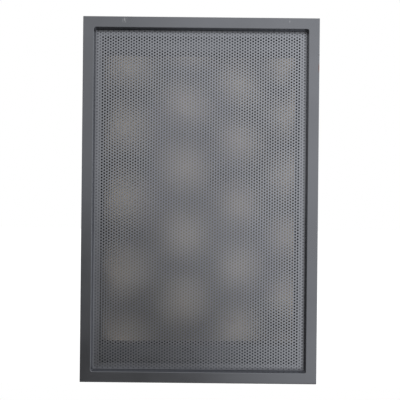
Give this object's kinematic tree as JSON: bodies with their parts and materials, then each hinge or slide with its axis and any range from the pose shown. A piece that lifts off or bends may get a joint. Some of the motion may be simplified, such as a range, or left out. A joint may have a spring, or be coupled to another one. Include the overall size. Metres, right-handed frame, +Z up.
{
  "type": "perforated rack door",
  "caption": "Perforated steel cabinet door: folded tray frame, recessed round-hole sheet, rear filter panel, sprung lift-off hinge pins and magnetic catches.",
  "frame": {"origin": "on the hinge axis, where the bearing length of the lower hinge pin starts, 0.6 mm below its bracket", "axes": "+X to the right and +Z up for someone facing the door, +Y back into the cabinet; the hinge axis is Z"},
  "size_m": [0.586, 0.069, 0.906],
  "materials": {
    "painted_steel": "satin grey powder coat",
    "zinc_plated_steel": "zinc plated",
    "spring_steel": "drawn wire",
    "blackened_steel": "black phosphate",
    "filter_mat": "non-woven fibre",
    "black_plastic": "moulded",
    "ferrite": "ground ferrite",
    "rubber": "moulded"
  },
  "bodies": {
    "root": {"door_frame": "painted_steel", "perforated_sheet": "painted_steel", "top_rail": "painted_steel", "bottom_rail": "painted_steel", "filter_mat": "filter_mat", "filter_retainer": "painted_steel", "retainer_studs": "zinc_plated_steel", "retainer_nuts": "zinc_plated_steel", "upper_hinge_bracket": "zinc_plated_steel", "lower_hinge_bracket": "zinc_plated_steel", "hinge_screws": "zinc_plated_steel", "hinge_nuts": "zinc_plated_steel", "upper_hinge_spring": "spring_steel", "lower_hinge_spring": "spring_steel", "upper_catch_housing": "black_plastic", "lower_catch_housing": "black_plastic", "catch_magnets": "ferrite", "catch_pole_plates": "zinc_plated_steel", "catch_screws": "zinc_plated_steel", "buffers": "rubber", "earth_stud": "zinc_plated_steel", "earth_washer": "zinc_plated_steel", "earth_nut": "zinc_plated_steel"},
    "upper_pin": {"upper_hinge_pin": "zinc_plated_steel", "upper_pin_ring": "blackened_steel"},
    "lower_pin": {"lower_hinge_pin": "zinc_plated_steel", "lower_pin_ring": "blackened_steel"}
  },
  "joints": [
    {"name": "upper_pin_pull", "type": "slide", "parent": "root", "child": "upper_pin", "axis": [0, 0, -1], "range_m": [0, 0.012], "stiffness_N_per_m": 1200, "springref_m": -0.008, "deforming": ["upper_hinge_spring"]},
    {"name": "lower_pin_pull", "type": "slide", "parent": "root", "child": "lower_pin", "axis": [0, 0, 1], "range_m": [0, 0.012], "stiffness_N_per_m": 1200, "springref_m": -0.008, "deforming": ["lower_hinge_spring"]}
  ]
}
